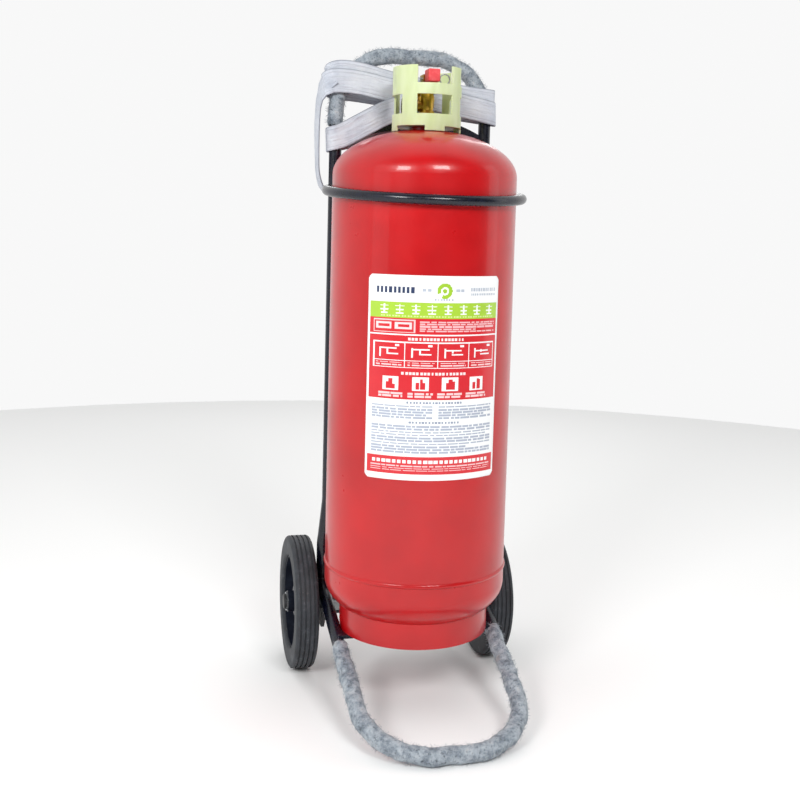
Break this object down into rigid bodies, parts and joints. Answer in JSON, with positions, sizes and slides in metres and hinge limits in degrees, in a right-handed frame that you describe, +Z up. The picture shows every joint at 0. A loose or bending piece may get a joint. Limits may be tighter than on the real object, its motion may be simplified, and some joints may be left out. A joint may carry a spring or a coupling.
{
  "type": "wheeled fire extinguisher",
  "caption": "Upright red powder cylinder on a two-wheel tube trolley with a hoop, a guarded lever valve, a padded handle and foot loop, and a flat woven hose wound on the handle.",
  "frame": {"origin": "on the ground, under the middle of the trolley's footprint", "axes": "+Z up, the labelled front faces -Y, and the wheels' axle lies along X"},
  "size_m": [0.4196, 0.5684, 1.132],
  "materials": {
    "cylinder_paint": "gloss red stoved enamel",
    "label_film": "printed polyester film",
    "guard_plastic": "moulded pale yellow-green polypropylene",
    "brass": "machined brass",
    "steel": "zinc plated steel",
    "lever_steel": "black oxide steel",
    "red_sleeve": "soft red vinyl sleeve",
    "rubber": "nitrile rubber",
    "gauge_metal": "plated gauge case",
    "gauge_white": "white dial with coloured arcs",
    "needle_paint": "black needle",
    "clear_lens": "clear lens",
    "frame_paint": "gloss blue-black enamel",
    "felt_wrap": "grey recycled-fibre felt wrap",
    "tyre_rubber": "solid rubber",
    "rim_paint": "dark pressed steel",
    "black_plastic": "black nylon",
    "hose_weave": "white woven polyester jacket",
    "aluminium": "turned aluminium"
  },
  "bodies": {
    "trolley": {"axle": "steel", "axle_cap_left": "black_plastic", "axle_cap_right": "black_plastic", "axle_plate_left": "frame_paint", "axle_plate_right": "frame_paint", "coupling_nut": "brass", "cylinder_shell": "cylinder_paint", "dip_tube": "steel", "foot_loop": "frame_paint", "foot_ring": "cylinder_paint", "foot_wrap": "felt_wrap", "front_base_bar": "frame_paint", "front_label": "label_film", "gauge_adapter": "brass", "gauge_case": "gauge_metal", "gauge_dial": "gauge_white", "gauge_lens": "clear_lens", "handle_frame": "frame_paint", "handle_wrap": "felt_wrap", "hose_drop": "hose_weave", "hose_end": "hose_weave", "hose_ferrule": "aluminium", "hose_hanger": "frame_paint", "hose_hank": "hose_weave", "hose_lead": "hose_weave", "hose_tail": "brass", "hose_turns": "hose_weave", "lever_pivot_pin": "steel", "lower_cradle": "frame_paint", "lower_head": "cylinder_paint", "neck_boss": "cylinder_paint", "neck_o_ring": "rubber", "nozzle_body": "aluminium", "nozzle_clip": "steel", "nozzle_ferrule": "aluminium", "nozzle_tip": "black_plastic", "rear_base_bar": "frame_paint", "retaining_hoop": "frame_paint", "trigger_pin": "steel", "upper_cradle": "frame_paint", "upper_crossbar": "frame_paint", "valve_body": "brass", "valve_guard": "guard_plastic", "wheel_spacer_left": "steel", "wheel_spacer_right": "steel", "wheel_washer_left": "steel", "wheel_washer_right": "steel"},
    "valve_lever": {"valve_lever": "lever_steel", "lever_grip": "red_sleeve"},
    "valve_stem": {"valve_stem": "steel", "stem_seal": "rubber"},
    "safety_pin": {"safety_pin": "steel"},
    "gauge_needle": {"gauge_needle": "needle_paint"},
    "wheel_left": {"tyre_left": "tyre_rubber", "rim_left": "rim_paint", "wheel_bush_left": "black_plastic"},
    "wheel_right": {"tyre_right": "tyre_rubber", "rim_right": "rim_paint", "wheel_bush_right": "black_plastic"},
    "nozzle_trigger": {"nozzle_trigger": "black_plastic"}
  },
  "joints": [
    {"name": "lever_lift", "type": "hinge", "parent": "trolley", "child": "valve_lever", "pos_m": [0, 0.01525, 1.067], "axis": [-1, 0, 0], "range_deg": [0, 90]},
    {"name": "stem_push", "type": "slide", "parent": "trolley", "child": "valve_stem", "axis": [0, 0, -1], "range_m": [0, 0.0051]},
    {"name": "safety_pin_pull", "type": "slide", "parent": "trolley", "child": "safety_pin", "axis": [1, 0, 0], "range_m": [0, 0.045]},
    {"name": "gauge_needle_turn", "type": "hinge", "parent": "trolley", "child": "gauge_needle", "pos_m": [-0.032, 0.01525, 1.022], "axis": [-1, 0, 0], "range_deg": [-110, 80], "stiffness_Nm_per_rad": 0.002},
    {"name": "wheel_left_spin", "type": "hinge", "parent": "trolley", "child": "wheel_left", "pos_m": [-0.181, 0.16425, 0.12], "axis": [1, 0, 0], "continuous": true},
    {"name": "wheel_right_spin", "type": "hinge", "parent": "trolley", "child": "wheel_right", "pos_m": [0.181, 0.16425, 0.12], "axis": [1, 0, 0], "continuous": true},
    {"name": "nozzle_trigger_squeeze", "type": "hinge", "parent": "trolley", "child": "nozzle_trigger", "pos_m": [-0.002, 0.20525, 0.68], "axis": [0, -1, 0], "range_deg": [0, 15], "stiffness_Nm_per_rad": 0.15}
  ],
  "couplings": [
    {"joint": "stem_push", "follows": "lever_lift", "m_per_rad": 0.0031831}
  ]
}
